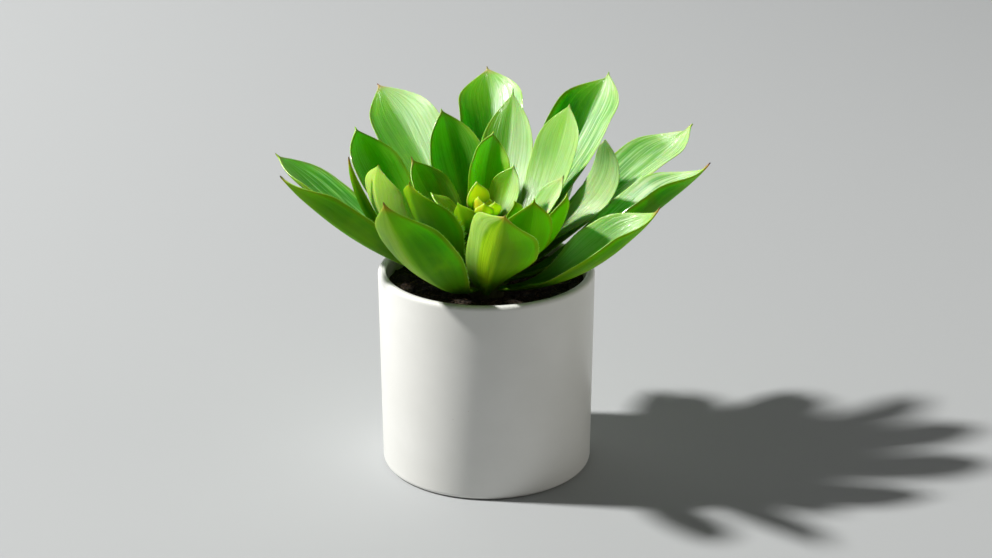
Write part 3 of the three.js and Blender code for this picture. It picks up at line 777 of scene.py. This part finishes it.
def leaf_finish(name, deep, light, young, edge, sheen_paint_colour, shine, flesh_depth, reds=0.30):
    """Waxy leaf skin: streaks along the leaf, cloudy greens, a pale margin and a red-brown tip, with
    painted light in the colour: a pale painted sheen as a highlight where the lamp falls, painted
    glow of light shining through at the margins, tips and keel, and painted shade towards the foot.

    The shine is how much the skin mirrors, its roughness, its wax, and the roughness of that wax.
    """
    skin = Finish(name)
    specular, roughness, coat, coat_roughness = shine

    def carried(label):
        """The three values that the leaf's mesh carries under this label."""
        node = skin.nodes.new("ShaderNodeAttribute")
        node.attribute_name = label
        return skin.parts(node.outputs["Vector"])

    across, along, margin = carried("blade")
    from_tip, youth_and_glow, red = carried("look")
    sheen_share, keel_glow, foot_shade = carried("skin")

    def ease(value, low, high, to_low=0.0, to_high=1.0):
        return skin.fade(value, low, high, to_low, to_high, "SMOOTHSTEP")

    def lines(finer, spread, longer, detail):
        """Noise drawn out along the leaf; its streaks lean out from the midrib as they go on."""
        fanned = skin.reckon("SUBTRACT", skin.reckon("ABSOLUTE", across), skin.times(along, spread))
        own = skin.reckon("ADD", youth_and_glow, skin.reckon("SIGN", across))
        drawn = {"X": skin.times(fanned, finer), "Y": skin.times(along, longer), "Z": own}
        place = skin.wired(skin.nodes.new("ShaderNodeCombineXYZ"), drawn, "Vector")
        return skin.cloudy(1, detail, place=place)

    veins = lines(26.0, 0.35, 4.0, 3)
    bands = lines(5.0, 0.2, 2.0, 2)
    threads = lines(48.0, 0.1, 3.0, 2)
    streaks = lines(13.0, 0.35, 2.5, 3)
    # Pale painted sheen: a painted highlight on the leaf halves that face the lamp, shown only in streaks
    # on older leaves.
    painted_sheen = skin.times(sheen_share, ease(streaks, 0.34, 0.66, 0.72, 1.10))
    streaks_from = skin.reckon("SUBTRACT", 0.62, skin.times(sheen_share, 0.55))
    streaks_to = skin.reckon("SUBTRACT", 0.80, skin.times(sheen_share, 0.45))
    streaked_sheen = skin.times(ease(streaks, streaks_from, streaks_to), ease(sheen_share, 0.0, 0.15))
    older = ease(youth_and_glow, 0.16, 0.02, 0.0, 0.55)
    even_sheen = skin.times(painted_sheen, skin.reckon("SUBTRACT", 1.0, older))
    # From the flesh outwards: how much each layer shows, and its colour. Some layers are painted light,
    # not the leaf's own colour.
    layers = [
        (skin.times(ease(veins, 0.42, 0.72), 0.35), light),
        (skin.times(ease(skin.cloudy(45, 3), 0.5, 0.75), 0.30), young),
        # Yellow-green of the whole leaf: partly its young flesh, partly painted glow of light shining
        # through it.
        (youth_and_glow, young),
        # Yellow-green towards the margins and the tip: partly paler young flesh, partly painted glow of
        # light through the thin parts.
        (skin.times(ease(margin, 3.8, 0.3), 0.60), young),
        (skin.times(ease(from_tip, 30.0, 3.0), 0.62), young),
        # Pale green margin line: partly the leaf's own rim, partly painted glow of light shining through
        # it.
        (skin.times(ease(margin, 0.50, 0.12), 0.6), edge),
        # Painted glow along the keel, broken into fibrous threads.
        (skin.times(keel_glow, ease(threads, 0.25, 0.6, 0.35, 1.0)), KEEL_GLOW_PAINT),
        # Painted highlight: the pale sheen laid over the lit halves.
        (skin.reckon("ADD", even_sheen, skin.times(streaked_sheen, older)), sheen_paint_colour),
        # Painted shade towards the foot.
        (skin.times(foot_shade, 0.85), FOOT_SHADE_PAINT),
        (skin.times(ease(from_tip, 7.0, 1.0), red), ORANGE_TIP),
        (skin.times(ease(from_tip, 2.0, 0.3), red), BROWN_CUSP),
    ]
    base = skin.blend(ease(bands, 0.35, 0.68), deep, light)
    for share, colour in layers:
        base = skin.blend(share, base, colour)

    ribs = skin.reckon("ADD", veins, skin.times(lines(11.0, 0.45, 1.6, 2), 0.6))
    ribbed = skin.relief(ribs, 0.60, 0.0004)
    fine = skin.relief(lines(85.0, 0.35, 8.0, 2), 0.40, 0.0002, over=ribbed)
    smears = lines(18.0, 0.45, 2.0, 3)
    skin.surface({
        "Base Color": base,
        "Roughness": ease(veins, 0.3, 0.7, roughness - 0.06, roughness + 0.08),
        "IOR": 1.45,
        "Specular IOR Level": ease(foot_shade, 0.1, 0.8, specular, 0.02),
        "Subsurface Weight": 1.0,
        "Subsurface Radius": (reds, 1.0, 0.04),
        "Subsurface Scale": ease(margin, 0.0, 3.5, THIN_FLESH, flesh_depth),
        "Coat Weight": ease(foot_shade, 0.1, 0.8, coat, 0.0),
        "Coat Roughness": ease(smears, 0.38, 0.62, coat_roughness - 0.14, coat_roughness + 0.14),
        "Normal": fine,
        "Coat Normal": fine,
    })
    return skin.made


leaf_face = leaf_finish(
    "leaf_upper_face",
    deep=(0.042, 0.265, 0.0015), light=(0.10, 0.38, 0.004), young=(0.32, 0.62, 0.004),
    edge=(0.46, 0.82, 0.06), sheen_paint_colour=(0.62, 0.83, 0.44),
    shine=(0.8, 0.54, 1.0, 0.31), flesh_depth=0.0060,
)
leaf_back = leaf_finish(
    "leaf_underside",
    deep=(0.040, 0.19, 0.001), light=(0.075, 0.26, 0.002), young=(0.26, 0.50, 0.004),
    edge=(0.42, 0.76, 0.05), sheen_paint_colour=(0.56, 0.80, 0.18),
    shine=(0.08, 0.55, 0.0, 0.5), flesh_depth=0.0050,
)


def finish_leaf(parts, name, node):
    """Applies the modifiers, joins the parts into one piece and puts it in the plant."""
    deselect()
    for part in parts:
        part.select_set(True)
        bpy.context.view_layer.objects.active = part
        for modifier in list(part.modifiers):
            bpy.ops.object.modifier_apply(modifier=modifier.name)
    bpy.context.view_layer.objects.active = parts[0]
    bpy.ops.object.join()
    piece = bpy.context.object
    piece.name = name
    bpy.ops.object.shade_smooth_by_angle(angle=math.radians(48))
    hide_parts(node)
    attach(piece, "root")


chance = random.Random(11)
for row in LEAF_ROWS:
    leaf = dict(zip(LEAF_COLUMNS, row))
    look = dict(zip(LOOK_COLUMNS, LEAF_LOOKS.get(leaf["name"], PLAIN_LOOK)))
    grid = SMALL_GRID if leaf["width"] < SMALL_WIDTH else LARGE_GRID
    blade = make_blade(leaf, look, grid)
    teeth = make_teeth(leaf, look, chance)
    for part in (blade, teeth):
        part.data.materials.append(leaf_face)
        part.data.materials.append(leaf_back)
    finish_leaf([blade, teeth], "fleshy_" + leaf["name"], "leaf_" + leaf["name"])

# ---------------------------------------------------------------------------------------------
# Heart: the youngest leaves, still a tight yellow-green bunch on the end of the stem. One broad
# leaf stands over four tiny ones, and a small dome of flesh closes the stem between their feet.
HEART_ROWS = [
    ("heart_left", 150, 148, (-5, -11, 167.4), 3, 0, 17, 0.48, 0, 30, 8, 0, 0),
    ("heart_back", 60, 149, (2.0, -11, 157.5), 1.0, 0, 8, 0.55, 0, 50, 12, 0, 0),
    ("heart_right", -20, 148.5, (4.5, -19, 159), 1.5, 0, 10, 0.5, 0, 30, 8, 0, 0),
    ("heart_front", 255, 148, (-1, -22.5, 159.5), 2, 0, 11, 0.5, 0, 30, 8, 0, 0),
    ("heart_middle", 200, 149, (-4, -17, 161), 1.8, 0, 10, 0.5, 0, 30, 8, 0, 0),
]
HEART_LOOK = dict(zip(LOOK_COLUMNS, (1.0, 1.0, 0.0, 0.22, 1.0, 0.05, 0.0, 0.0, 0.1, 0.1, 0.0)))
HEART_GRID = (12, 26)
DOME_RADIUS = 0.0046
DOME_FOOT = 0.1463
DOME_STRETCH = 1.7

# The heart's colours are partly its own yellow-green young flesh and partly painted glow: they are
# brighter than the flesh to stand in for light shining through the shaded bud.
bud_face = leaf_finish(
    "heart_leaf_face",
    deep=(0.40, 0.80, 0.006), light=(0.54, 0.88, 0.010), young=(0.68, 0.93, 0.015),
    edge=(0.80, 0.94, 0.30), sheen_paint_colour=(0.80, 0.88, 0.40),
    shine=(0.4, 0.5, 0.2, 0.4), flesh_depth=0.013, reds=0.5,
)
deselect()
bpy.ops.mesh.primitive_uv_sphere_add(
    segments=24, ring_count=14, radius=DOME_RADIUS, location=(STEM_PLACE.x, STEM_PLACE.y, DOME_FOOT)
)
dome = bpy.context.object
bpy.ops.object.mode_set(mode="EDIT")
bpy.ops.transform.resize(value=(1, 1, DOME_STRETCH))
bpy.ops.mesh.bisect(plane_co=(0, 0, DOME_FOOT), plane_no=(0, 0, 1), clear_inner=True, use_fill=True)
bpy.ops.object.mode_set(mode="OBJECT")
bpy.ops.object.transform_apply(location=True, rotation=True, scale=True)
for name, values in (("blade", (0.2, 0.2, 2.0)), ("look", (20.0, 0.9, 0.0)), ("skin", (0.0, 0.0, 0.0))):
    set_attribute(dome.data, name, [values] * len(dome.data.vertices))
parts = [dome]
for row in HEART_ROWS:
    leaf = dict(zip(LEAF_COLUMNS, row))
    parts.append(make_blade(leaf, HEART_LOOK, HEART_GRID))
    parts.append(make_teeth(leaf, HEART_LOOK, chance))
for part in parts:
    part.data.materials.append(bud_face)
    part.data.materials.append(bud_face)
finish_leaf(parts, "heart_leaves", "heart")
